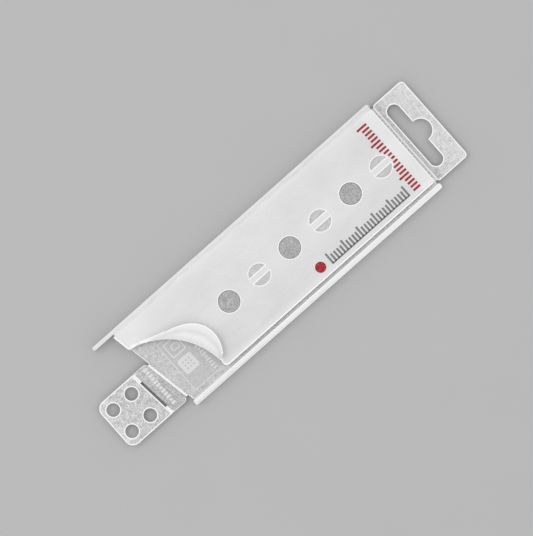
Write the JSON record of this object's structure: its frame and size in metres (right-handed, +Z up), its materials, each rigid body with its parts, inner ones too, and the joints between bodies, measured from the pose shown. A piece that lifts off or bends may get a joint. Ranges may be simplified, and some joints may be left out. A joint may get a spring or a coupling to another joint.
{
  "type": "knife blade guard",
  "caption": "Flat book-like guard with two hinged plastic leaves, disc magnets, barred windows, a carrier card, a euro slot hang tab and a folding tie tab.",
  "frame": {"origin": "middle of the underside, on the surface that the guard lies on", "axes": "+X along the guard towards the hang tab, +Y towards the spine strip, +Z up through the front leaf"},
  "size_m": [0.1984, 0.05, 0.0109],
  "materials": {
    "leaf_plastic": "milky white moulded plastic, satin",
    "strip_plastic": "bright white moulded plastic, satin",
    "card_plastic": "grey frosted translucent sheet",
    "neck_plastic": "grey frosted sheet with a plain grey print",
    "score_plastic": "sheet whitened by folding",
    "magnet_metal": "plated disc magnet, dull grey and mottled"
  },
  "bodies": {
    "tray": {"back_leaf": "leaf_plastic", "edge_rail": "strip_plastic", "spine_strip": "strip_plastic", "leaf_hinge_web": "leaf_plastic", "back_magnet_1": "magnet_metal", "back_magnet_2": "magnet_metal", "back_magnet_3": "magnet_metal"},
    "cover": {"front_leaf": "leaf_plastic", "front_magnet_1": "magnet_metal", "front_magnet_2": "magnet_metal", "front_magnet_3": "magnet_metal"},
    "card": {"carrier_card": "card_plastic", "hang_tab_perforation": "card_plastic", "neck_score": "score_plastic"},
    "hanger": {"hang_tab": "card_plastic"},
    "neck": {"tab_neck": "neck_plastic", "tie_tab_score": "score_plastic"},
    "tie": {"tie_tab": "card_plastic"}
  },
  "joints": [
    {"name": "leaf_open", "type": "hinge", "parent": "tray", "child": "cover", "pos_m": [0, 0.0229, 0.00575], "axis": [-1, 0, 0], "range_deg": [0, 170]},
    {"name": "card_slide", "type": "slide", "parent": "tray", "child": "card", "axis": [1, 0, 0], "range_m": [0, 0.185]},
    {"name": "hang_tab_fold", "type": "hinge", "parent": "card", "child": "hanger", "pos_m": [0.0813, 0, 0.00287], "axis": [0, -1, 0], "range_deg": [-90, 90]},
    {"name": "neck_fold", "type": "hinge", "parent": "card", "child": "neck", "pos_m": [-0.06703, -0.0082, 0.00287], "axis": [-0.1754, 0.9845, 0], "range_deg": [-90, 90]},
    {"name": "tie_tab_fold", "type": "hinge", "parent": "neck", "child": "tie", "pos_m": [-0.0759, -0.0082, 0.00287], "axis": [-0.0924, 0.9957, 0], "range_deg": [-90, 90]}
  ]
}
